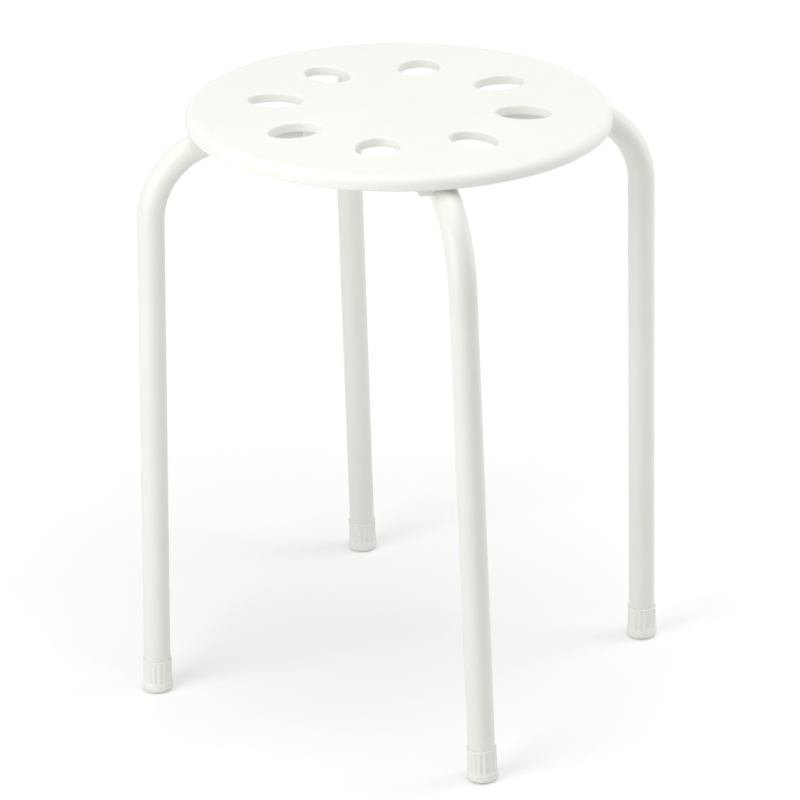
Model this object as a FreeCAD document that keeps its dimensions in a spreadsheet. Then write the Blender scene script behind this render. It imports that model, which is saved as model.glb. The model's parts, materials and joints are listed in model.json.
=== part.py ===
"""A round stacking stool: a perforated plastic seat on two crossed frames of bent steel tube.

Millimetres. The origin is on the floor under the middle of the seat, with +Z up. The upper frame's
legs stand left and right, at -X and +X; the lower frame's legs stand front and back, at -Y and +Y.
"""
import FreeCAD, Part
import os
import Sketcher

os.makedirs("parts", exist_ok=True)
doc = FreeCAD.newDocument("stool")

# Driving dimensions, in millimetres, degrees and counts
SIZES = {
    # Seat moulding
    "seat_height": 450,
    "seat_diameter": 311,
    "seat_skin": 3,
    "rim_depth": 10.2,
    "rim_wall": 3,
    "rim_rounding": 6.2,
    "rim_lip_rounding": 1,
    # Finger holes, oval, in one ring
    "hole_count": 8,
    "hole_ring_radius": 91.5,
    "hole_length": 41,
    "hole_width": 30.8,
    "hole_edge_rounding": 1.4,
    "collar_wall": 2.4,
    "collar_depth": 7,
    # Ribs under the seat
    "rib_thickness": 2,
    "rib_depth": 6,
    "inner_ring_radius": 58,
    "outer_ring_radius": 121,
    # Cradles that hold the two frames
    "tube_clearance": 0.25,
    "cheek_wall": 2.2,
    "cheek_depth": 9,
    "cheek_start": 84,
    "saddle_count": 4,
    "saddle_thickness": 2.2,
    "saddle_wrap": 6,
    "clip_start": 62,
    "clip_length": 12,
    "clip_wall": 3,
    "clip_wrap": 5,
    "clip_lip": 0.2,
    "shoulder_start": 140,
    "shoulder_thickness": 6,
    "shoulder_reach": 20.5,
    "shoulder_wrap": 1,
    "shoulder_rounding": 3,
    # Centre boss
    "boss_diameter": 19,
    "insert_diameter": 8.5,
    "insert_length": 5.6,
    # Frames of bent tube
    "tube_diameter": 20,
    "tube_wall": 1.5,
    "tube_top_gap": 0.5,
    "level_step": 4.5,
    "bend_radius": 60,
    "leg_reach": 183.8,
    "upper_splay": 1.13,
    "lower_splay": 2.16,
    "upper_lean": 0.85,
    "lower_lean": 1.88,
    # Pressed stretch where the frames cross
    "press_length": 29,
    "press_blend": 22,
    "press_height": 7.2,
    "press_spread": 3.5,
    "press_crown": 0.5,
    "contact_gap": 0.12,
    # Centre screw and its washer
    "screw_diameter": 6,
    "screw_length": 20,
    "screw_point": 0.8,
    "screw_clearance": 1,
    "thread_gap": 0.05,
    "head_diameter": 11,
    "head_height": 3.3,
    "head_flat_diameter": 6,
    "head_edge": 0.5,
    "socket_width": 4,
    "socket_depth": 2.2,
    "washer_diameter": 18,
    "washer_thickness": 1.6,
    # Slip-on feet
    "foot_height": 26,
    "foot_body_diameter": 22,
    "foot_base_diameter": 23.4,
    "foot_sole_diameter": 16.8,
    "foot_sole_edge": 0.5,
    "foot_base_rounding": 3.8,
    "foot_bead_height": 5,
    "foot_groove_width": 0.6,
    "foot_groove_depth": 0.5,
    "foot_flare_height": 12,
    "foot_lip_rounding": 0.4,
    "foot_floor": 3.5,
    "foot_trim": 1.5,
    "foot_clearance": 0.1,
    "flute_count": 16,
    "flute_radius": 1.6,
    "flute_depth": 0.4,
    "flute_start": 8,
    "flute_lip": 1.2,
}

sheet = doc.addObject("Spreadsheet::Sheet", "sizes")
for row, (name, size) in enumerate(SIZES.items(), start=1):
    sheet.set("A%d" % row, name)
    sheet.set("B%d" % row, str(size))
    sheet.setAlias("B%d" % row, name)
doc.recompute()

# Levels and radii that follow from the sizes
TUBE_RADIUS = "(sizes.tube_diameter / 2)"
UPPER_DEPTH = "(sizes.seat_skin + sizes.tube_top_gap + %s)" % TUBE_RADIUS
LOWER_DEPTH = "(%s + sizes.level_step)" % UPPER_DEPTH
PRESS_NEAR = "((sizes.level_step - sizes.contact_gap) / 2)"
PRESS_FAR = "(sizes.press_height - %s)" % PRESS_NEAR
BOSS_DEPTH = "(%s - %s - sizes.contact_gap)" % (UPPER_DEPTH, PRESS_FAR)
WASHER_DEPTH = "(%s + %s + sizes.contact_gap + sizes.washer_thickness)" % (LOWER_DEPTH, PRESS_FAR)
PRESS_HALF = "(sizes.press_length / 2 + sizes.press_blend)"
UNDERSIDE = "-sizes.seat_skin / 2"
# The middle of a quarter arc, as shares of its radius from its centre and from its corner
ARC_OUT = "sqrt(0.5)"
ARC_IN = "(1 - sqrt(0.5))"


def number(text):
    """The value of a size expression."""
    return float(sheet.evalExpression(text))


def new_body(label):
    body = doc.addObject("PartDesign::Body", label)
    body.Label = label
    return body


def origin_plane(body, role):
    return next(part for part in body.Origin.OriginFeatures if part.Role == role)


def new_sketch(body, name, role="XY_Plane", lift="0", turn="0"):
    """A sketch on one of the body's own planes, lifted along its normal and turned in its plane."""
    sketch = body.newObject("Sketcher::SketchObject", name)
    sketch.AttachmentSupport = [(origin_plane(body, role), "")]
    sketch.MapMode = "FlatFace"
    place = "placement(vector(0; 0; %s); rotation(vector(0; 0; 1); %s))" % (lift, turn)
    sketch.setExpression("AttachmentOffset", place)
    return sketch


def pin(sketch, geometry, point, x, y):
    """Holds one point of a sketch at x and y, each given as a size expression."""
    for kind, axis, text in (("DistanceX", -2, x), ("DistanceY", -1, y)):
        if text == "0":
            sketch.addConstraint(Sketcher.Constraint("PointOnObject", geometry, point, axis))
            continue
        index = sketch.addConstraint(Sketcher.Constraint(kind, -1, 1, geometry, point, number(text)))
        sketch.setExpression("Constraints[%d]" % index, text)


def vector(x, y):
    return FreeCAD.Vector(number(x), number(y), 0)


def add_edge(sketch, start, end, via=None):
    """A line, or an arc through a third point. Returns the edge and its two end numbers."""
    if via is None:
        return sketch.addGeometry(Part.LineSegment(vector(*start), vector(*end))), 1, 2
    first, passed, last = vector(*start), vector(*via), vector(*end)
    turns_left = (passed - first).cross(last - passed).z > 0
    stops = (first, passed, last) if turns_left else (last, passed, first)
    index = sketch.addGeometry(Part.Arc(*stops))
    middle = sketch.addGeometry(Part.Point(passed), True)
    pin(sketch, middle, 1, *via)
    sketch.addConstraint(Sketcher.Constraint("PointOnObject", middle, 1, index))
    return (index, 1, 2) if turns_left else (index, 2, 1)


def outline(sketch, corners, closed=True):
    """Edges from corner to corner. A corner is x, y and, for an arc to the next one, a point on it."""
    edges = []
    stops = corners[1:] + corners[:1] if closed else corners[1:]
    for corner, stop in zip(corners, stops):
        via = corner[2:] or None
        edges.append(add_edge(sketch, corner[:2], stop[:2], via))
    for (edge, first, _), corner in zip(edges, corners):
        pin(sketch, edge, first, *corner[:2])
    follow = edges[1:] + edges[:1] if closed else edges[1:]
    for (edge, _, last), (after, first, _) in zip(edges, follow):
        sketch.addConstraint(Sketcher.Constraint("Coincident", edge, last, after, first))
    if not closed:
        pin(sketch, edges[-1][0], edges[-1][2], *corners[-1][:2])


def rectangle(sketch, x0, x1, y0, y1):
    outline(sketch, [(x0, y0), (x1, y0), (x1, y1), (x0, y1)])


def circle(sketch, x, y, radius):
    index = sketch.addGeometry(Part.Circle(vector(x, y), FreeCAD.Vector(0, 0, 1), number(radius)))
    pin(sketch, index, 3, x, y)
    limit = sketch.addConstraint(Sketcher.Constraint("Radius", index, number(radius)))
    sketch.setExpression("Constraints[%d]" % limit, radius)


def oval(sketch, x, length, width):
    """An ellipse on the sketch's X axis, long along it."""
    centre = vector(x, "0")
    half = number(length) / 2
    far = centre + FreeCAD.Vector(half, 0, 0)
    side = centre + FreeCAD.Vector(0, number(width) / 2, 0)
    index = sketch.addGeometry(Part.Ellipse(far, side, centre))
    sketch.exposeInternalGeometry(index)
    sketch.addConstraint(Sketcher.Constraint("PointOnObject", index + 1, 1, -1))
    pin(sketch, index, 3, x, "0")
    for axis, text in ((index + 1, length), (index + 2, width)):
        limit = sketch.addConstraint(Sketcher.Constraint("Distance", axis, number(text)))
        sketch.setExpression("Constraints[%d]" % limit, text)


def pad(body, sketch, length, down=False):
    feature = body.newObject("PartDesign::Pad", sketch.Name + "_pad")
    feature.Profile = sketch
    feature.Reversed = down
    feature.setExpression("Length", length)
    return feature


def pocket(body, sketch, depth=None, down=True):
    """A cut through everything, or as deep as it says, downwards from the sketch unless told otherwise."""
    feature = body.newObject("PartDesign::Pocket", sketch.Name + "_cut")
    feature.Profile = sketch
    feature.Reversed = not down
    if depth is None:
        feature.Type = "ThroughAll"
    else:
        feature.setExpression("Length", depth)
    return feature


def revolve(body, sketch):
    feature = body.newObject("PartDesign::Revolution", sketch.Name + "_turned")
    feature.Profile = sketch
    feature.ReferenceAxis = (sketch, ["V_Axis"])
    feature.Angle = 360
    return feature


def pipe(body, kind, section, path):
    feature = body.newObject("PartDesign::" + kind, section.Name + "_swept")
    feature.Profile = section
    feature.Spine = (path, ["Edge%d" % (edge + 1) for edge in range(3)])
    return feature


def around(body, name, features, count):
    """Copies of some features, evenly spaced about the upright axis."""
    pattern = body.newObject("PartDesign::PolarPattern", name)
    pattern.Originals = features
    pattern.Axis = (origin_plane(body, "Z_Axis"), [""])
    pattern.Angle = 360
    pattern.setExpression("Occurrences", count)
    body.Tip = pattern
    return pattern


def mirror(body, name, features, role):
    pattern = body.newObject("PartDesign::Mirrored", name)
    pattern.Originals = features
    pattern.MirrorPlane = (origin_plane(body, role), [""])
    body.Tip = pattern
    return pattern


def fillet(body, name, radius, wanted):
    """Rounds every edge of the body, as it stands, that passes the test."""
    doc.recompute()
    base = body.Tip
    edges = ["Edge%d" % (n + 1) for n, edge in enumerate(base.Shape.Edges) if wanted(edge)]
    feature = body.newObject("PartDesign::Fillet", name)
    feature.Base = (base, edges)
    feature.setExpression("Radius", radius)
    return feature


def on_top_within(edge, reach):
    """True for an edge that lies in the top face, with both its ends closer to the middle than the reach."""
    box = edge.BoundBox
    level = abs(box.ZMin) < 0.01 and abs(box.ZMax) < 0.01
    ends = [edge.valueAt(place) for place in edge.ParameterRange]
    return level and all((end.x ** 2 + end.y ** 2) ** 0.5 < reach for end in ends)


def leg_path(body, name, role, start, depth, splay, end):
    """Half a frame's centreline: along the level run, round the bend and down the splayed leg.

    It lies in the sketch's plane, the level run at the given depth under the plane's X axis. The leg
    ends the given height lower.
    """
    bend = "sizes.bend_radius"
    bend_start = "(sizes.leg_reach - %s * tan((90 - %s) / 2))" % (bend, splay)
    middle = "((90 + %s) / 2)" % splay
    arc_middle = ["%s + %s * cos%s" % (bend_start, bend, middle),
                  "%s * sin%s - %s - %s" % (bend, middle, bend, depth)]
    bend_end = ["%s + %s * cos(%s)" % (bend_start, bend, splay),
                "%s * sin(%s) - %s - %s" % (bend, splay, bend, depth)]
    leg_end = ["sizes.leg_reach + %s * tan(%s)" % (end, splay), "-%s - %s" % (end, depth)]
    level = "-" + depth if depth != "0" else "0"
    path = new_sketch(body, name, role)
    outline(path, [(start, level), (bend_start, level, *arc_middle), tuple(bend_end), tuple(leg_end)], False)
    return path


# Seat moulding


def arm_supports(body, name, role, turn, depth):
    """Cradle of one frame, for both arms: cheeks, saddle ribs, a snap clip and a shouldered end."""
    inner = "(%s + sizes.tube_clearance)" % TUBE_RADIUS
    outer = "(%s + sizes.cheek_wall)" % inner
    rim_inside = "(sizes.seat_diameter / 2 - sizes.rim_wall)"

    cheeks = new_sketch(body, name + "_cheeks", lift=UNDERSIDE, turn=turn)
    for side in ("", "-"):
        rectangle(cheeks, "sizes.cheek_start", rim_inside, side + inner, side + outer)
    cheek_pad = pad(body, cheeks, "sizes.cheek_depth + %s" % UNDERSIDE, down=True)

    saddles = new_sketch(body, name + "_saddles", lift=UNDERSIDE, turn=turn)
    pitch = "((sizes.shoulder_start - sizes.cheek_start) / sizes.saddle_count)"
    for place in range(int(number("sizes.saddle_count"))):
        near = "(sizes.cheek_start + %d * %s)" % (place, pitch)
        rectangle(saddles, near, near + " + sizes.saddle_thickness", "-" + outer, outer)
    saddle_pad = pad(body, saddles, "%s - sizes.saddle_wrap + %s" % (depth, UNDERSIDE), down=True)

    clip = new_sketch(body, name + "_clip", role, lift="sizes.clip_start")
    mouth = "sqrt(%s * %s - sizes.clip_wrap * sizes.clip_wrap) - sizes.clip_lip" % (inner, inner)
    for side in ("", "-"):
        foot = "-%s - sizes.clip_wrap" % depth
        rectangle(clip, side + "(" + mouth + ")", side + "(%s + sizes.clip_wall)" % inner, UNDERSIDE, foot)
    clip_pad = pad(body, clip, "sizes.clip_length")

    shoulder = new_sketch(body, name + "_shoulder", role, lift="sizes.shoulder_start")
    low = "(%s - sizes.shoulder_wrap)" % depth
    reach = "sizes.shoulder_reach"
    curve = "sizes.shoulder_rounding"
    outline(shoulder, [
        ("0", UNDERSIDE), ("-" + reach, UNDERSIDE),
        ("-" + reach, "-%s + %s" % (low, curve),
         "-%s + %s * %s" % (reach, curve, ARC_IN), "-%s + %s * %s" % (low, curve, ARC_IN)),
        ("-%s + %s" % (reach, curve), "-" + low), ("0", "-" + low)])
    shoulder_pad = pad(body, shoulder, "sizes.shoulder_thickness")
    return around(body, name + "_both_arms", [cheek_pad, saddle_pad, clip_pad, shoulder_pad], "2")


def cut_channel(body, name, role, across, depth, splay):
    """Clears the tube's way through the cradles and past the inside of the rim, for both arms."""
    path = leg_path(body, name + "_way", role, "0", depth, splay, "(sizes.bend_radius + %s)" % TUBE_RADIUS)
    section = new_sketch(body, name + "_channel", across)
    circle(section, "0", "-" + depth, "%s + sizes.tube_clearance" % TUBE_RADIUS)
    cut = pipe(body, "SubtractivePipe", section, path)
    mirror(body, name + "_channels", [cut], across)


def make_seat():
    body = new_body("seat")
    radius = "sizes.seat_diameter / 2"
    inside = "(%s - sizes.rim_wall)" % radius
    shell = new_sketch(body, "shell", "XZ_Plane")
    curve = "sizes.rim_rounding"
    lip = "sizes.rim_lip_rounding"
    corner = "(%s - sizes.rim_wall)" % curve
    outline(shell, [
        ("0", "0"),
        ("%s - %s" % (radius, curve), "0",
         "%s - %s * %s" % (radius, curve, ARC_IN), "-%s * %s" % (curve, ARC_IN)),
        (radius, "-" + curve),
        (radius, "%s - sizes.rim_depth" % lip,
         "%s - %s * %s" % (radius, lip, ARC_IN), "%s * %s - sizes.rim_depth" % (lip, ARC_IN)),
        ("%s - %s" % (radius, lip), "-sizes.rim_depth"),
        (inside, "-sizes.rim_depth"),
        (inside, "-sizes.seat_skin - " + corner,
         "%s - %s * %s" % (inside, corner, ARC_IN), "-sizes.seat_skin - %s * %s" % (corner, ARC_IN)),
        ("%s - %s" % (inside, corner), "-sizes.seat_skin"), ("0", "-sizes.seat_skin")])
    revolve(body, shell)

    # Two ring ribs, one inside and one outside the ring of holes
    rings = new_sketch(body, "ring_ribs", lift=UNDERSIDE)
    for middle in ("sizes.inner_ring_radius", "sizes.outer_ring_radius"):
        circle(rings, "0", "0", middle + " - sizes.rib_thickness / 2")
        circle(rings, "0", "0", middle + " + sizes.rib_thickness / 2")
    pad(body, rings, "sizes.rib_depth + %s" % UNDERSIDE, down=True)

    # Radial ribs in line with the holes, from the middle to the inner ring and from the outer ring to the rim
    half_pitch = "180 / sizes.hole_count"
    half_rib = "sizes.rib_thickness / 2"
    spokes = new_sketch(body, "radial_ribs", lift=UNDERSIDE, turn=half_pitch)
    rectangle(spokes, "sizes.insert_diameter / 2", "sizes.inner_ring_radius", "-" + half_rib, half_rib)
    rectangle(spokes, "sizes.outer_ring_radius", inside, "-" + half_rib, half_rib)
    spoke_pad = pad(body, spokes, "sizes.rib_depth + %s" % UNDERSIDE, down=True)
    collar = new_sketch(body, "collar", lift=UNDERSIDE, turn=half_pitch)
    oval(collar, "sizes.hole_ring_radius", "sizes.hole_length + 2 * sizes.collar_wall",
         "sizes.hole_width + 2 * sizes.collar_wall")
    collar_pad = pad(body, collar, "sizes.collar_depth + %s" % UNDERSIDE, down=True)
    around(body, "ribs_and_collars", [spoke_pad, collar_pad], "sizes.hole_count")

    arm_supports(body, "upper_cradle", "YZ_Plane", "0", UPPER_DEPTH)
    arm_supports(body, "lower_cradle", "XZ_Plane", "-90", LOWER_DEPTH)
    cut_channel(body, "upper", "XZ_Plane", "YZ_Plane", UPPER_DEPTH, "sizes.upper_splay")
    cut_channel(body, "lower", "YZ_Plane", "XZ_Plane", LOWER_DEPTH, "sizes.lower_splay")

    # The centre boss stands on the upper frame's pressed face and holds the threaded insert
    boss = new_sketch(body, "boss", lift=UNDERSIDE)
    circle(boss, "0", "0", "sizes.boss_diameter / 2")
    pad(body, boss, "%s + %s" % (BOSS_DEPTH, UNDERSIDE), down=True)
    socket = new_sketch(body, "insert_bore", lift="-" + BOSS_DEPTH)
    circle(socket, "0", "0", "sizes.insert_diameter / 2")
    pocket(body, socket, "sizes.insert_length", down=False)

    hole = new_sketch(body, "finger_hole", turn=half_pitch)
    oval(hole, "sizes.hole_ring_radius", "sizes.hole_length", "sizes.hole_width")
    around(body, "finger_holes", [pocket(body, hole)], "sizes.hole_count")

    hole_reach = number("sizes.hole_ring_radius + sizes.hole_length / 2 + sizes.collar_wall")
    fillet(body, "hole_rounding", "sizes.hole_edge_rounding", lambda edge: on_top_within(edge, hole_reach))
    body.setExpression("Placement.Base.z", "sizes.seat_height")
    return body


# Frames


def between(first, last, share):
    """A size expression on the way from one to another."""
    if share in (0, 1):
        return last if share else first
    return "((%s) * %g + (%s) * %g)" % (first, 1 - share, last, share)


def press_section(body, name, place, share, low, high):
    """The tube's section, hollow, at one place along the pressed stretch.

    The share says how far it is pressed, from the round tube at 0 to the pressed height at 1, when its
    faces lie as low and as high as given, each a little crowned between round sides.
    """
    section = new_sketch(body, name, "YZ_Plane", lift=place)
    middle = "((%s - %s) / 2)" % (high, low)
    for wall in ("0", "sizes.tube_wall"):
        radius = "(%s - %s)" % (TUBE_RADIUS, wall)
        diagonal = "%s * %s" % (radius, ARC_OUT)
        rise = "(sizes.press_height / 2 - %s)" % wall
        shoulder = "(%s - sizes.press_crown)" % rise
        half = "(%s + sizes.press_spread - %s)" % (TUBE_RADIUS, wall)
        side = between(radius, half, share)
        across = between(diagonal, "%s - %s" % (half, shoulder), share)
        upper = between(diagonal, "%s + %s" % (middle, shoulder), share)
        lower = between("-" + diagonal, "%s - %s" % (middle, shoulder), share)
        level = between("0", middle, share)
        outline(section, [
            (across, lower, side, level),
            (across, upper, "0", between(radius, "%s + %s" % (middle, rise), share)),
            ("-(%s)" % across, upper, "-" + side, level),
            ("-(%s)" % across, lower, "0", between("-" + radius, "%s - %s" % (middle, rise), share))])
    return section


def make_frame(label, depth, splay, lean, turn, low, high):
    """One frame: a tube with a pressed middle, two bends and two legs, hollow from end to end."""
    body = new_body(label)
    level = "(sizes.seat_height - %s)" % depth
    end = "((%s - sizes.foot_floor) / cos(%s))" % (level, lean)
    path = leg_path(body, label + "_half_path", "XZ_Plane", PRESS_HALF, "0", splay, end)
    section = new_sketch(body, label + "_tube", "YZ_Plane", lift=PRESS_HALF)
    circle(section, "0", "0", TUBE_RADIUS)
    circle(section, "0", "0", TUBE_RADIUS + " - sizes.tube_wall")
    half = pipe(body, "AdditivePipe", section, path)
    mirror(body, label + "_halves", [half], "YZ_Plane")

    flat = "(sizes.press_length / 2)"
    halfway = "(%s + sizes.press_blend / 2)" % flat
    stations = [("-" + PRESS_HALF, 0), ("-" + halfway, 0.5), ("-" + flat, 1), ("0", 1),
                (flat, 1), (halfway, 0.5), (PRESS_HALF, 0)]
    sections = [press_section(body, "%s_pressed_%d" % (label, n), place, share, low, high)
                for n, (place, share) in enumerate(stations)]
    loft = body.newObject("PartDesign::AdditiveLoft", label + "_pressed")
    loft.Profile = sections[0]
    loft.Sections = sections[1:]

    hole = new_sketch(body, label + "_screw_hole")
    circle(hole, "0", "0", "(sizes.screw_diameter + sizes.screw_clearance) / 2")
    cut = pocket(body, hole)
    cut.SideType = "Symmetric"
    body.setExpression("Placement", "placement(vector(0; 0; %s); rotation(vector(0; 0; 1); %s)"
                       " * rotation(vector(1; 0; 0); %s))" % (level, turn, lean))
    return body


# Feet


def make_foot(label, depth, splay, lean, turn):
    """One slip-on foot, along its leg: fluted, flared towards its base bead, its sole flat on the floor."""
    body = new_body(label)
    base = "(sizes.foot_base_diameter / 2)"
    wall = "(sizes.foot_body_diameter / 2)"
    bore = "(%s + sizes.foot_clearance)" % TUBE_RADIUS
    contact = "(sizes.foot_sole_diameter / 2)"
    spread = "(%s - %s)" % (base, contact)
    bead = "sizes.foot_bead_height"
    groove_top = "(%s + sizes.foot_groove_width)" % bead
    flare = "(sizes.foot_flare_height - %s)" % groove_top
    lip = "sizes.foot_lip_rounding"
    profile = new_sketch(body, label + "_profile", "XZ_Plane")
    outline(profile, [
        ("0", "-sizes.foot_trim"), (contact, "-sizes.foot_trim"),
        (contact, "sizes.foot_sole_edge", "%s + %s * %s" % (contact, spread, ARC_OUT),
         "sizes.foot_sole_edge + (sizes.foot_base_rounding - sizes.foot_sole_edge) * " + ARC_IN),
        (base, "sizes.foot_base_rounding"),
        (base, bead), ("%s - sizes.foot_groove_depth" % base, bead),
        ("%s - sizes.foot_groove_depth" % base, groove_top),
        (base, groove_top, "%s + (%s - %s) * %s" % (wall, base, wall, ARC_IN),
         "%s + %s * %s" % (groove_top, flare, ARC_IN)),
        (wall, "sizes.foot_flare_height"),
        (wall, "sizes.foot_height - " + lip,
         "%s - %s * %s" % (wall, lip, ARC_IN), "sizes.foot_height - %s * %s" % (lip, ARC_IN)),
        ("%s - %s" % (wall, lip), "sizes.foot_height"),
        (bore, "sizes.foot_height"), (bore, "sizes.foot_floor"), ("0", "sizes.foot_floor")])
    revolve(body, profile)

    section = new_sketch(body, label + "_flute", lift="sizes.flute_start")
    circle(section, "%s + sizes.flute_radius - sizes.flute_depth" % wall, "0", "sizes.flute_radius")
    flute = pocket(body, section, "sizes.foot_height - sizes.flute_lip - sizes.flute_start", down=False)
    around(body, label + "_flutes", [flute], "sizes.flute_count")

    # The floor's plane, seen from the tilted foot, trims the sole level
    sole = new_sketch(body, label + "_sole")
    sole.setExpression("AttachmentOffset", "placement(vector(0; 0; 0); rotation(vector(0; 1; 0); %s)"
                       " * rotation(vector(1; 0; 0); -%s))" % (splay, lean))
    circle(sole, "0", "0", "sizes.foot_base_diameter")
    pocket(body, sole)

    level = "(sizes.seat_height - %s)" % depth
    reach = "(sizes.leg_reach + %s / cos(%s) * tan(%s))" % (level, lean, splay)
    aside = "%s * tan(%s)" % (level, lean)
    body.setExpression("Placement", (
        "placement(rotation(vector(0; 0; 1); %s) * vector(%s; %s; 0); rotation(vector(0; 0; 1); %s)"
        " * rotation(vector(1; 0; 0); %s) * rotation(vector(0; 1; 0); -%s))")
        % (turn, reach, aside, turn, lean, splay))
    return body


# Centre fastening


def make_insert():
    """Threaded insert, seated in the boss from below; its thread is drawn as a plain bore."""
    body = new_body("centre_insert")
    ring = new_sketch(body, "insert_ring")
    circle(ring, "0", "0", "sizes.insert_diameter / 2")
    circle(ring, "0", "0", "sizes.screw_diameter / 2 + sizes.thread_gap")
    pad(body, ring, "sizes.insert_length")
    body.setExpression("Placement.Base.z", "sizes.seat_height - " + BOSS_DEPTH)
    return body


def make_screw():
    """Button-head screw with a hexagon socket, up through the washer and both frames."""
    body = new_body("centre_screw")
    shank = "sizes.screw_diameter / 2"
    head = "(sizes.head_diameter / 2)"
    flat = "(sizes.head_flat_diameter / 2)"
    rise = "sizes.head_height"
    edge = "sizes.head_edge"
    profile = new_sketch(body, "screw_profile", "XZ_Plane")
    outline(profile, [
        ("0", "-" + rise),
        (flat, "-" + rise, "%s + (%s - %s) * %s" % (flat, head, flat, ARC_OUT),
         "-%s - (%s - %s) * %s" % (edge, rise, edge, ARC_OUT)),
        (head, "-" + edge), (head, "0"), (shank, "0"), (shank, "sizes.screw_length - sizes.screw_point"),
        (shank + " - sizes.screw_point", "sizes.screw_length"), ("0", "sizes.screw_length")])
    revolve(body, profile)
    socket = new_sketch(body, "socket", lift="-" + rise)
    across = "(sizes.socket_width / 2)"
    corner = "(%s / cos(30))" % across
    level = "(%s / 2)" % corner
    outline(socket, [(across, "-" + level), (across, level), ("0", corner),
                     ("-" + across, level), ("-" + across, "-" + level), ("0", "-" + corner)])
    pocket(body, socket, "sizes.socket_depth", down=False)
    body.setExpression("Placement.Base.z", "sizes.seat_height - " + WASHER_DEPTH)
    return body


def make_washer():
    body = new_body("centre_washer")
    disc = new_sketch(body, "washer_disc")
    circle(disc, "0", "0", "sizes.washer_diameter / 2")
    circle(disc, "0", "0", "(sizes.screw_diameter + sizes.screw_clearance) / 2")
    pad(body, disc, "sizes.washer_thickness")
    body.setExpression("Placement.Base.z", "sizes.seat_height - " + WASHER_DEPTH)
    return body


upper = (UPPER_DEPTH, "sizes.upper_splay", "sizes.upper_lean")
lower = (LOWER_DEPTH, "sizes.lower_splay", "sizes.lower_lean")
parts = [
    make_seat(),
    make_frame("upper_frame", *upper, "180", PRESS_NEAR, PRESS_FAR),
    make_frame("lower_frame", *lower, "-90", PRESS_FAR, PRESS_NEAR),
    make_insert(),
    make_screw(),
    make_washer(),
    make_foot("foot_left", *upper, "180"),
    make_foot("foot_right", upper[0], upper[1], "(-%s)" % upper[2], "0"),
    make_foot("foot_front", *lower, "-90"),
    make_foot("foot_back", lower[0], lower[1], "(-%s)" % lower[2], "90"),
]
doc.recompute()

for item in doc.Objects:
    if "Invalid" in item.State or "Error" in item.State:
        raise RuntimeError("%s did not build: %s" % (item.Label, item.State))
for part in parts:
    if part.Shape.isNull() or not part.Shape.isValid() or len(part.Shape.Solids) != 1:
        raise RuntimeError("%s is not one sound solid" % part.Label)
for part in parts:
    part.Shape.exportStep("parts/%s.step" % part.Label)
    box = part.Shape.BoundBox
    print("%-14s %9.0f mm3  z %.2f to %.2f" % (part.Label, part.Shape.Volume, box.ZMin, box.ZMax))
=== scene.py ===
# %% [markdown]
# # Dressing a white stacking stool
# The stool is one moulded seat, two crossed frames of bent steel tube, four slip-on feet and a centre
# screw. Its solids come from the imported part, at their real size and in their real place, so this
# lesson only gives them finishes, makes softer feet and lights the whole. The load comes first, and the
# box of each foot's solid is printed beside that of its new skin.

# %% Load the imported part
import json
import math

import bpy
from mathutils import Matrix, Vector


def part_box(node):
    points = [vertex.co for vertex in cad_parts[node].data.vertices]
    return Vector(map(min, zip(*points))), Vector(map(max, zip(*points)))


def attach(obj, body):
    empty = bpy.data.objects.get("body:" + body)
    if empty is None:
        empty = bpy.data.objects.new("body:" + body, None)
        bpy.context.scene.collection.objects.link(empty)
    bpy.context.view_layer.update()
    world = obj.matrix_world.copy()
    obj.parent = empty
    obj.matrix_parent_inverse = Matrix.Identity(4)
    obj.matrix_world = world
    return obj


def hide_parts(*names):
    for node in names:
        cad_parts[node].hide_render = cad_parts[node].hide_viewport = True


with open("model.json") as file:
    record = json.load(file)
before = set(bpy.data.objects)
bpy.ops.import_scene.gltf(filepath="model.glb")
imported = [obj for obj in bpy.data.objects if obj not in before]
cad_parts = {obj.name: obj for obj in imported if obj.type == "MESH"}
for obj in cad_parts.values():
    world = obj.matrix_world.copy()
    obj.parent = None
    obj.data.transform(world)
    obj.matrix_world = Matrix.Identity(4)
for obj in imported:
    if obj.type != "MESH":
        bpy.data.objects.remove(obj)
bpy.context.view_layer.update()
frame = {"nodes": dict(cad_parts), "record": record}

nodes = frame["nodes"]
print("pieces loaded:", sorted(nodes))

# %% [markdown]
# ## Where the camera stands
# The photograph was taken from a couple of metres away with a long lens, so upright legs stay nearly
# parallel. A camera is a position, a direction and a lens: here the direction is three turns, first
# the tilt down, then the turn about the upright axis, then a slight roll. A picture of a known object
# settles them all, because only one camera puts the seat's rim, holes and feet where they were.

# %% Make the camera
CAMERA_PLACE = (-0.5623, -2.4332, 1.2906)
CAMERA_TURN = math.radians(-13.01)
CAMERA_TILT = math.radians(66.74)
CAMERA_ROLL = math.radians(-0.245)
SENSOR_WIDTH = 36.0
PICTURE_SIZE = 800
FOCAL_PIXELS = 3612.55

lens = bpy.data.cameras.new("camera")
lens.sensor_width = SENSOR_WIDTH
lens.lens = FOCAL_PIXELS / PICTURE_SIZE * SENSOR_WIDTH
camera = bpy.data.objects.new("camera", lens)
camera.matrix_world = (
    Matrix.Translation(CAMERA_PLACE)
    @ Matrix.Rotation(CAMERA_TURN, 4, "Z")
    @ Matrix.Rotation(CAMERA_TILT, 4, "X")
    @ Matrix.Rotation(CAMERA_ROLL, 4, "Z")
)
bpy.context.scene.collection.objects.link(camera)
bpy.context.scene.camera = camera
print("lens %.1f mm" % lens.lens)

# %% [markdown]
# ## Helpers for finishes
# Every finish here is a Principled shader with small surface detail. The detail is made of noise
# measured in object space, so that it has a real size in millimetres and needs no unwrapping. The
# first helpers make a material, set what is the same all over it, and join nodes. The others turn
# noise into a colour, a roughness or a relief. Noise keeps near a half, so its middle range is
# stretched over the whole of a colour blend or a roughness range.

# %% Start a material and join its nodes
MM = 0.001
WHITE = (1.0, 1.0, 1.0, 1.0)


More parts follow.
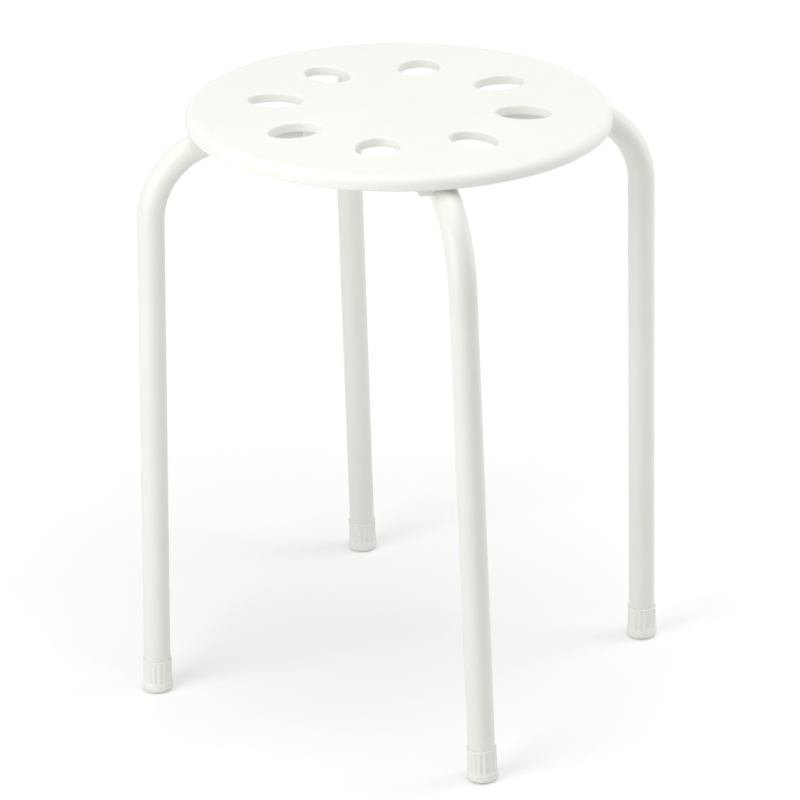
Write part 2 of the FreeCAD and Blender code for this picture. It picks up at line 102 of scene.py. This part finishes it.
def new_finish(name):
    """Makes a material, and gives it back with its node tree and its Principled shader."""
    material = bpy.data.materials.new(name)
    material.use_nodes = True
    tree = material.node_tree
    return material, tree, tree.nodes["Principled BSDF"]


def set_evenly(shader, values):
    """Sets what is the same all over the surface."""
    for socket, value in values.items():
        shader.inputs[socket].default_value = value


def map_range(tree, value, old_ends, new_ends):
    """Maps a value from one range to another, and holds it at the ends."""
    mapping = tree.nodes.new("ShaderNodeMapRange")
    sockets = ("From Min", "From Max", "To Min", "To Max")
    for socket, end in zip(sockets, (*old_ends, *new_ends)):
        mapping.inputs[socket].default_value = end
    tree.links.new(value, mapping.inputs["Value"])
    return mapping.outputs["Result"]


def combine(tree, operation, first, second):
    """Works one value out of two, by the named operation."""
    result = tree.nodes.new("ShaderNodeMath")
    result.operation = operation
    tree.links.new(first, result.inputs[0])
    tree.links.new(second, result.inputs[1])
    return result.outputs["Value"]


# %% Turn noise into colour, roughness and relief
NOISE_RANGE = (0.3, 0.7)


def noise(tree, size, detail=2.0, roughness=0.5):
    """Noise whose features are about the given size in metres."""
    place = tree.nodes.new("ShaderNodeTexCoord")
    texture = tree.nodes.new("ShaderNodeTexNoise")
    texture.inputs["Scale"].default_value = 1.0 / size
    texture.inputs["Detail"].default_value = detail
    texture.inputs["Roughness"].default_value = roughness
    tree.links.new(place.outputs["Object"], texture.inputs["Vector"])
    return texture.outputs["Fac"]


def vary_colour(tree, shader, value, colours):
    """Blends two colours by a noise value."""
    ramp = tree.nodes.new("ShaderNodeValToRGB")
    for step in (0, 1):
        ramp.color_ramp.elements[step].position = NOISE_RANGE[step]
        ramp.color_ramp.elements[step].color = (*colours[step], 1.0)
    tree.links.new(value, ramp.inputs["Fac"])
    tree.links.new(ramp.outputs["Color"], shader.inputs["Base Color"])


def vary_roughness(tree, shader, value, ends):
    """Spreads the roughness between two ends by a noise value."""
    tree.links.new(map_range(tree, value, NOISE_RANGE, ends), shader.inputs["Roughness"])


def bump(tree, shader, height, depth, below=None):
    """Raises the surface by a height value times a depth in metres, over another relief if given."""
    relief = tree.nodes.new("ShaderNodeBump")
    relief.inputs["Strength"].default_value = 1.0
    relief.inputs["Distance"].default_value = depth
    tree.links.new(height, relief.inputs["Height"])
    if below is not None:
        tree.links.new(below, relief.inputs["Normal"])
    tree.links.new(relief.outputs["Normal"], shader.inputs["Normal"])
    return relief.outputs["Normal"]


# %% [markdown]
# ## The seat's moulded plastic
# The seat is injection-moulded polypropylene, white with a little warmth. Such a mould is etched with
# a fine grain that hides flow marks and keeps the top matt, while the plastic itself lets light in a
# little way. So the finish has three layers: a grain just under a millimetre across, a wider waviness
# that a thin skin has over its ribs, and a trace of scattering under the surface. The grain also breaks
# up the reflection at a low angle, which a smooth shader would show in full, so the specular level is
# set below its usual value.

# %% Moulded plastic
SEAT_WHITES = ((0.893, 0.892, 0.856), (0.906, 0.905, 0.874))
SEAT_CLOUDS = 60 * MM
SEAT_ROUGHNESS = (0.54, 0.64)
SEAT_PATCHES = 20 * MM
WAVE_SIZE, WAVE_DEPTH = 18 * MM, 0.06 * MM
GRAIN_SIZE, GRAIN_DEPTH = 0.8 * MM, 0.14 * MM


def seat_plastic():
    material, tree, shader = new_finish("seat_plastic")
    vary_colour(tree, shader, noise(tree, SEAT_CLOUDS), SEAT_WHITES)
    vary_roughness(tree, shader, noise(tree, SEAT_PATCHES), SEAT_ROUGHNESS)
    set_evenly(shader, {
        "IOR": 1.49,
        "Specular IOR Level": 0.30,
        "Subsurface Weight": 0.22,
        "Subsurface Radius": (3.0 * MM, 2.6 * MM, 1.6 * MM),
        "Subsurface Scale": 1.0,
    })
    waves = bump(tree, shader, noise(tree, WAVE_SIZE, detail=0.0), WAVE_DEPTH)
    grain = noise(tree, GRAIN_SIZE, detail=3.0, roughness=0.6)
    bump(tree, shader, grain, GRAIN_DEPTH, below=waves)
    return material


finishes = {"seat_plastic": seat_plastic()}
print("seat plastic: grain %.1f mm, waves %.0f mm across" % (GRAIN_SIZE / MM, WAVE_SIZE / MM))

# %% [markdown]
# ## The frames' powder coat
# Powder melts on the steel and levels into a skin about a tenth of a millimetre thick. It never levels
# fully: the surface keeps a ripple about two millimetres across, called orange peel, which breaks up
# the long highlights on the tubes. A thin clear layer over a rougher base gives the satin gloss.

# %% Powder coat
COAT_WHITES = ((0.824, 0.820, 0.768), (0.846, 0.844, 0.796))
COAT_CLOUDS = 80 * MM
COAT_ROUGHNESS = (0.36, 0.46)
COAT_PATCHES = 12 * MM
PEEL_SIZE, PEEL_DEPTH = 2.2 * MM, 0.14 * MM
SPECK_SIZE, SPECK_DEPTH = 0.4 * MM, 0.02 * MM


def powder_coat():
    material, tree, shader = new_finish("frame_coating")
    vary_colour(tree, shader, noise(tree, COAT_CLOUDS), COAT_WHITES)
    vary_roughness(tree, shader, noise(tree, COAT_PATCHES), COAT_ROUGHNESS)
    set_evenly(shader, {"IOR": 1.50, "Coat Weight": 0.15, "Coat Roughness": 0.22})
    peel = bump(tree, shader, noise(tree, PEEL_SIZE, detail=1.0), PEEL_DEPTH)
    bump(tree, shader, noise(tree, SPECK_SIZE, detail=2.0), SPECK_DEPTH, below=peel)
    return material


finishes["frame_coating"] = powder_coat()
print("powder coat: orange peel %.1f mm across" % (PEEL_SIZE / MM))

# %% [markdown]
# ## The feet's softer plastic
# Slip-on feet are moulded in polyethylene, which is softer and duller than the seat. It picks up dust
# and fine scuffs where it meets the floor, so the roughness varies and the colour greys a little there.
# Height above the floor drives that greying, because only the lowest few millimetres ever rub, and
# noise breaks it into patches.

# %% Foot plastic
FOOT_COLOURS = ((0.872, 0.869, 0.814), (0.72, 0.71, 0.66))
SCUFF_TOP = 6 * MM
SCUFF_PATCHES = 1.5 * MM
FOOT_ROUGHNESS = (0.50, 0.62)
FOOT_PATCHES = 2 * MM
FOOT_GRAIN, FOOT_GRAIN_DEPTH = 0.7 * MM, 0.05 * MM


def scuffs(tree):
    """Patches that are strongest at the floor and gone at the top of the scuffed band."""
    place = tree.nodes.new("ShaderNodeTexCoord")
    split = tree.nodes.new("ShaderNodeSeparateXYZ")
    tree.links.new(place.outputs["Object"], split.inputs["Vector"])
    nearness = map_range(tree, split.outputs["Z"], (0.0, SCUFF_TOP), (1.0, 0.0))
    patches = map_range(tree, noise(tree, SCUFF_PATCHES, detail=4.0), NOISE_RANGE, (0.0, 1.0))
    return combine(tree, "MULTIPLY", nearness, patches)


def foot_plastic():
    material, tree, shader = new_finish("foot_plastic")
    vary_colour(tree, shader, scuffs(tree), FOOT_COLOURS)
    vary_roughness(tree, shader, noise(tree, FOOT_PATCHES, detail=3.0), FOOT_ROUGHNESS)
    set_evenly(shader, {
        "IOR": 1.51,
        "Subsurface Weight": 0.08,
        "Subsurface Radius": (2.5 * MM, 2.3 * MM, 2.0 * MM),
        "Subsurface Scale": 1.0,
    })
    bump(tree, shader, noise(tree, FOOT_GRAIN, detail=3.0), FOOT_GRAIN_DEPTH)
    return material


finishes["foot_plastic"] = foot_plastic()
print("foot plastic: scuffed up to %.0f mm" % (SCUFF_TOP / MM))

# %% [markdown]
# ## Zinc and brass
# The screw and its washer are steel with bright zinc plate: metallic, slightly blue, with a faint
# cloudiness from the bath. The insert in the seat's boss is turned brass. Metals have no diffuse
# colour of their own, so their look is almost all roughness, and the noise goes there.

# %% Metal finishes
ZINC_COLOURS = ((0.60, 0.61, 0.63), (0.68, 0.69, 0.70))
BRASS_COLOURS = ((0.70, 0.54, 0.26), (0.78, 0.61, 0.32))
METAL_CLOUDS = 3 * MM
METAL_PATCHES = 1.2 * MM
METAL_MARKS, METAL_MARK_DEPTH = 0.6 * MM, 0.01 * MM


def metal(name, colours, roughness):
    material, tree, shader = new_finish(name)
    vary_colour(tree, shader, noise(tree, METAL_CLOUDS, detail=3.0), colours)
    vary_roughness(tree, shader, noise(tree, METAL_PATCHES, detail=4.0), roughness)
    set_evenly(shader, {"Metallic": 1.0})
    bump(tree, shader, noise(tree, METAL_MARKS, detail=3.0), METAL_MARK_DEPTH)
    return material


finishes["zinc_steel"] = metal("zinc_steel", ZINC_COLOURS, (0.24, 0.36))
finishes["insert_brass"] = metal("insert_brass", BRASS_COLOURS, (0.22, 0.34))
print("finishes made:", sorted(finishes))

# %% [markdown]
# ## Dress the solids
# The record says which finish each piece has, so the scene doesn't repeat that list. A solid's mesh
# keeps its own normals, so only the material slot changes.

# %% Give every solid its finish
for entry in frame["record"]["subparts"]:
    solid = nodes[entry["node"]].data
    solid.materials.clear()
    solid.materials.append(finishes[entry["material_slot"]])
    print(entry["node"], len(solid.polygons), "faces,", entry["material_slot"])

# %% [markdown]
# ## Softer feet
# A slip-on foot is moulded, so nothing on it is sharp. Its sixteen flutes roll into one another and run
# out under the lip at the top and above the bead at the base, and the bead rolls under to the sole. The
# solids have all these forms with plain cuts. Here each foot is made again as one turned skin whose
# radius also swings with the angle. The profile below goes round the wall's whole section: the bead,
# the groove over it, the flared wall, the lip and the bore that takes the tube.

# %% Measures of a foot
SOLE_RADIUS = 8.4 * MM       # the flat that stands on the floor
SOLE_EDGE = 0.5 * MM         # the short edge round it, before the bead rolls out
BASE_RADIUS = 11.7 * MM      # the smooth bead at the base
BEAD_TOP = 5.0 * MM
BEAD_EDGE = 0.2 * MM         # the rounding of the bead's upper edge
GROOVE_WIDTH = 0.6 * MM
GROOVE_DEPTH = 0.45 * MM
WALL_RADIUS = 11.0 * MM
FLARE_TOP = 12.0 * MM        # below this height the wall widens
FLARE_POWER = 3.0
FOOT_HEIGHT = 26.0 * MM
LIP_ROUNDING = 0.4 * MM
BORE_RADIUS = 10.04 * MM     # a little over the tube's 10 mm, so that the two skins never touch
BORE_ROUNDING = 0.1 * MM
BORE_FLOOR = 3.5 * MM        # the tube's end stands on this
print("foot %.0f mm high, %.1f mm across its base" % (FOOT_HEIGHT / MM, 2 * BASE_RADIUS / MM))


# %% Profile of a foot
WALL_STEPS = 44
GROOVE_TURN = (250, 110)     # a hollow turns the other way than a rounding


def arc_points(centre, radius, start, stop, steps):
    """Points of an arc as pairs of radius and height, its angles in degrees from outwards to up."""
    turns = [math.radians(start + (stop - start) * step / steps) for step in range(steps + 1)]
    return [(centre[0] + radius * math.cos(turn), centre[1] + radius * math.sin(turn)) for turn in turns]


def wall_radius(height):
    """The wall's radius: straight above the flare, and wider towards the base below it."""
    share = max(0.0, (FLARE_TOP - height) / (FLARE_TOP - BEAD_TOP - GROOVE_WIDTH))
    return WALL_RADIUS + (BASE_RADIUS - WALL_RADIUS) * share ** FLARE_POWER


def foot_profile():
    """The section from the sole up the outside, over the lip and down the bore."""
    bead = BASE_RADIUS - SOLE_RADIUS
    groove = GROOVE_WIDTH / 2
    groove_centre = (BASE_RADIUS - GROOVE_DEPTH + groove, BEAD_TOP + groove)
    low, high = BEAD_TOP + GROOVE_WIDTH + BEAD_EDGE, FOOT_HEIGHT - LIP_ROUNDING
    heights = [low + (high - low) * step / WALL_STEPS for step in range(WALL_STEPS)]
    bore_edge = (BORE_RADIUS + BORE_ROUNDING, FOOT_HEIGHT - BORE_ROUNDING)
    return (
        arc_points((SOLE_RADIUS, SOLE_EDGE + bead), bead, -90, 0, steps=10)
        + arc_points((BASE_RADIUS - BEAD_EDGE, BEAD_TOP - BEAD_EDGE), BEAD_EDGE, 0, 90, steps=3)
        + arc_points(groove_centre, groove, *GROOVE_TURN, steps=6)
        + [(wall_radius(height), height) for height in heights]
        + arc_points((WALL_RADIUS - LIP_ROUNDING, high), LIP_ROUNDING, 0, 90, steps=5)
        + arc_points(bore_edge, BORE_ROUNDING, 90, 180, steps=3)
        + [(BORE_RADIUS, (BORE_FLOOR + FOOT_HEIGHT) / 2), (BORE_RADIUS, BORE_FLOOR)]
    )


profile = foot_profile()
print("points round a foot's section:", len(profile))

# %% [markdown]
# ## Turn the profile
# Each ring of the skin is one point of the profile, turned. A flute is a soft hollow: its depth follows
# a cosine round the foot, raised to a small power that narrows it and leaves a broader land between two
# hollows. A smooth step fades the hollows in above the bead and out under the lip.

# %% Rings with flutes
FLUTES = 16
FLUTE_DEPTH = 0.60 * MM
FLUTE_NARROWING = 1.3
FLUTE_BOTTOM = (6.8 * MM, 8.6 * MM)
FLUTE_TOP = (24.2 * MM, 25.1 * MM)
STEPS_PER_FLUTE = 12
RING = STEPS_PER_FLUTE * FLUTES


def fade(value, ends):
    """A smooth step from 0 at the first end to 1 at the second."""
    share = min(1.0, max(0.0, (value - ends[0]) / (ends[1] - ends[0])))
    return share * share * (3.0 - 2.0 * share)


def flute_share(radius, height):
    """How strongly the flutes mark a ring: fully on the wall, not at all on the bead, lip and bore."""
    if radius <= BORE_RADIUS:
        return 0.0
    return fade(height, FLUTE_BOTTOM) * (1.0 - fade(height, FLUTE_TOP))


def ring_points(radius, height):
    """One turned point of the profile, with the flutes' hollows in it."""
    depth = FLUTE_DEPTH * flute_share(radius, height)
    points = []
    for step in range(RING):
        turn = 2.0 * math.pi * step / RING
        hollow = (0.5 - 0.5 * math.cos(FLUTES * turn)) ** FLUTE_NARROWING
        reach = radius - depth * hollow
        points.append(Vector((reach * math.cos(turn), reach * math.sin(turn), height)))
    return points


print("points in a ring:", RING)

# %% [markdown]
# ## Stand each foot on its leg
# A foot stands on its leg's own axis, so it splays and leans as the frame does. A leg is given by the
# height of its frame's level run, how far out the leg's line is there, and the angles by which it splays
# outwards and leans to the side. The two legs of a frame lean the same way, and so they lean opposite
# ways as each is seen from outside. The foot's lowest ring is set down along the leg's line to the
# floor, which makes the sole flat on the ground however the leg leans.

# %% Find where each foot stands
LEG_REACH = 183.8 * MM
UPPER_LEG = (436.5 * MM, LEG_REACH, math.radians(1.13), math.radians(0.85))
LOWER_LEG = (432.0 * MM, LEG_REACH, math.radians(2.16), math.radians(1.88))
LEGS = {
    "foot_left": (UPPER_LEG, 1, 180),
    "foot_right": (UPPER_LEG, -1, 0),
    "foot_front": (LOWER_LEG, 1, -90),
    "foot_back": (LOWER_LEG, -1, 90),
}


def leg_stand(level, reach, splay, lean, turn):
    """Where a foot stands and how it tilts, from its leg's measures and its turn round the seat."""
    out = reach + level / math.cos(lean) * math.tan(splay)
    place = Matrix.Rotation(turn, 4, "Z") @ Matrix.Translation((out, level * math.tan(lean), 0.0))
    return place @ Matrix.Rotation(lean, 4, "X") @ Matrix.Rotation(-splay, 4, "Y")


stands = {}
for node, ((level, reach, splay, lean), way, turn) in LEGS.items():
    stands[node] = leg_stand(level, reach, splay, way * lean, math.radians(turn))
    print(node, "stands at x %.1f, y %.1f mm" % tuple(v / MM for v in stands[node].translation[:2]))

# %% [markdown]
# ## Build the skins
# A skin is its rings one after another, with squares between neighbours and a flat face at each end, so
# it is closed, like the solid whose place it takes. Only edges sharper than the limit below keep a
# crease, and the rest is shaded smooth.

# %% Build the four feet
SHARP_ANGLE = math.radians(40)


def set_down(point, stand):
    """Moves a point along the foot's axis to the floor."""
    placed = stand @ point
    axis = stand.to_3x3() @ Vector((0.0, 0.0, 1.0))
    return placed - axis * (placed.z / axis.z)


def skin_faces(ring_count):
    """Squares between neighbouring rings, and a flat face that closes each end."""
    faces = []
    for low in range(0, (ring_count - 1) * RING, RING):
        high = low + RING
        for step in range(RING):
            after = (step + 1) % RING
            faces.append((low + step, low + after, high + after, high + step))
    faces.append(tuple(reversed(range(RING))))
    faces.append(tuple(range((ring_count - 1) * RING, ring_count * RING)))
    return faces


def make_foot(node, stand):
    """One foot's skin, in place of its solid."""
    rings = [[set_down(point, stand) for point in ring_points(SOLE_RADIUS, 0.0)]]
    rings += [[stand @ point for point in ring_points(*place)] for place in profile]
    mesh = bpy.data.meshes.new(node + "_moulded")
    mesh.from_pydata([point for ring in rings for point in ring], [], skin_faces(len(rings)))
    mesh.materials.append(finishes["foot_plastic"])
    mesh.shade_smooth()
    mesh.set_sharp_from_angle(angle=SHARP_ANGLE)
    foot = bpy.data.objects.new(node + "_moulded", mesh)
    bpy.context.scene.collection.objects.link(foot)
    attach(foot, "root")
    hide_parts(node)
    return foot


for node, stand in stands.items():
    foot = make_foot(node, stand)
    low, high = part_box(node)
    print(node, "solid from", [round(v, 4) for v in low], "to", [round(v, 4) for v in high])
    sides = list(zip(*(vertex.co for vertex in foot.data.vertices)))
    print("  skin from", [round(min(side), 4) for side in sides],
          "to", [round(max(side), 4) for side in sides])

# %% [markdown]
# ## A floor that reads as white
# The photograph is a cut-out on white. A pale floor keeps the stool standing somewhere: it is diffuse
# for the light that it bounces, and where it is seen it is lifted with a little emission, so that it
# reads as white while the stool's shadow stays. A stronger lamp would also whiten it, but would burn out
# the white seat. The lamps reach less of the floor further out, so the lift grows with the distance
# from the stool. Only rays that show the background see the lift: those from the camera, and those that
# a gloss or a clear piece passes on. So the stool isn't lit by it.

# %% Tell the rays that show the background
def background_rays(tree):
    """Gives 1 for a ray that shows the background, and 0 for the rest."""
    rays = tree.nodes.new("ShaderNodeLightPath")
    shown = rays.outputs["Is Camera Ray"]
    for kind in ("Is Glossy Ray", "Is Transmission Ray"):
        shown = combine(tree, "MAXIMUM", shown, rays.outputs[kind])
    return shown


# %% Make the floor
FLOOR_SIZE = 12.0
FLOOR_COLOUR = (0.90, 0.90, 0.90, 1.0)
LIFT_DISTANCES = (0.35, 2.5)
LIFT_STRENGTHS = (0.15, 0.66)

bpy.ops.mesh.primitive_plane_add(size=FLOOR_SIZE, location=(0, 0, 0))
floor = bpy.context.object
floor.name = "floor"
floor_material, floor_tree, floor_shader = new_finish("floor")
set_evenly(floor_shader, {
    "Base Color": FLOOR_COLOUR,
    "Roughness": 0.9,
    "Specular IOR Level": 0.0,
    "Emission Color": WHITE,
})
spot = floor_tree.nodes.new("ShaderNodeTexCoord")
distance = floor_tree.nodes.new("ShaderNodeVectorMath")
distance.operation = "LENGTH"
floor_tree.links.new(spot.outputs["Object"], distance.inputs[0])
rise = map_range(floor_tree, distance.outputs["Value"], LIFT_DISTANCES, LIFT_STRENGTHS)
lift = combine(floor_tree, "MULTIPLY", background_rays(floor_tree), rise)
floor_tree.links.new(lift, floor_shader.inputs["Emission Strength"])
floor.data.materials.append(floor_material)
print("floor lifted by %.2f near the stool and %.2f far out" % LIFT_STRENGTHS)

# %% [markdown]
# ## Light a white thing without losing it
# White on white shows its form only by soft shading. On the photographed legs the lit side is on the
# left, the shade falls off slowly across the tube, and a weak second light catches the right edge. So
# there is a large soft lamp close by on the left, a weaker one on the right and a wide one overhead,
# with an even world for the rest. The side lamps stand low, because a low lamp lights upright tubes
# well and only grazes the flat seat. The seat's level then comes mostly from the overhead lamp, and its
# power is set so that the top stays just under white.

# %% Make the world
WORLD_LEVEL = 0.41

world = bpy.data.worlds.new("studio")
bpy.context.scene.world = world
world.use_nodes = True
backdrop = world.node_tree.nodes["Background"]
backdrop.inputs["Color"].default_value = WHITE
shown = background_rays(world.node_tree)
strength = map_range(world.node_tree, shown, (0.0, 1.0), (WORLD_LEVEL, 1.0))
world.node_tree.links.new(strength, backdrop.inputs["Strength"])
print("world gives %.2f of white as light" % WORLD_LEVEL)


# %% Make the lamps
def soft_lamp(name, place, target, size, power):
    """A square lamp that faces a point."""
    light = bpy.data.lights.new(name, "AREA")
    light.size = size
    light.energy = power
    lamp = bpy.data.objects.new(name, light)
    lamp.location = place
    lamp.rotation_euler = (Vector(target) - Vector(place)).to_track_quat("-Z", "Y").to_euler()
    bpy.context.scene.collection.objects.link(lamp)
    return lamp


STOOL_MIDDLE = (0.0, 0.0, 0.25)
LAMPS = (       # name, place, size in metres, power in watts
    ("key", (-1.14, -0.62, 0.73), 1.0, 8.4),
    ("fill", (1.30, -0.10, 0.60), 0.8, 3.8),
    ("top", (0.2, -0.1, 2.4), 2.0, 26.0),
)
for name, place, size, power in LAMPS:
    lamp = soft_lamp(name, place, STOOL_MIDDLE, size, power)
    print(name, "stands %.2f m away and gives %.1f W" % (lamp.location.length, power))

# %% [markdown]
# ## Colours as written
# Blender's default view transform compresses bright tones, which would grey a white stool. The
# standard one shows each colour about as it is written in its shader.

# %% Set the view transform
bpy.context.scene.view_settings.view_transform = "Standard"
print("view transform:", bpy.context.scene.view_settings.view_transform)
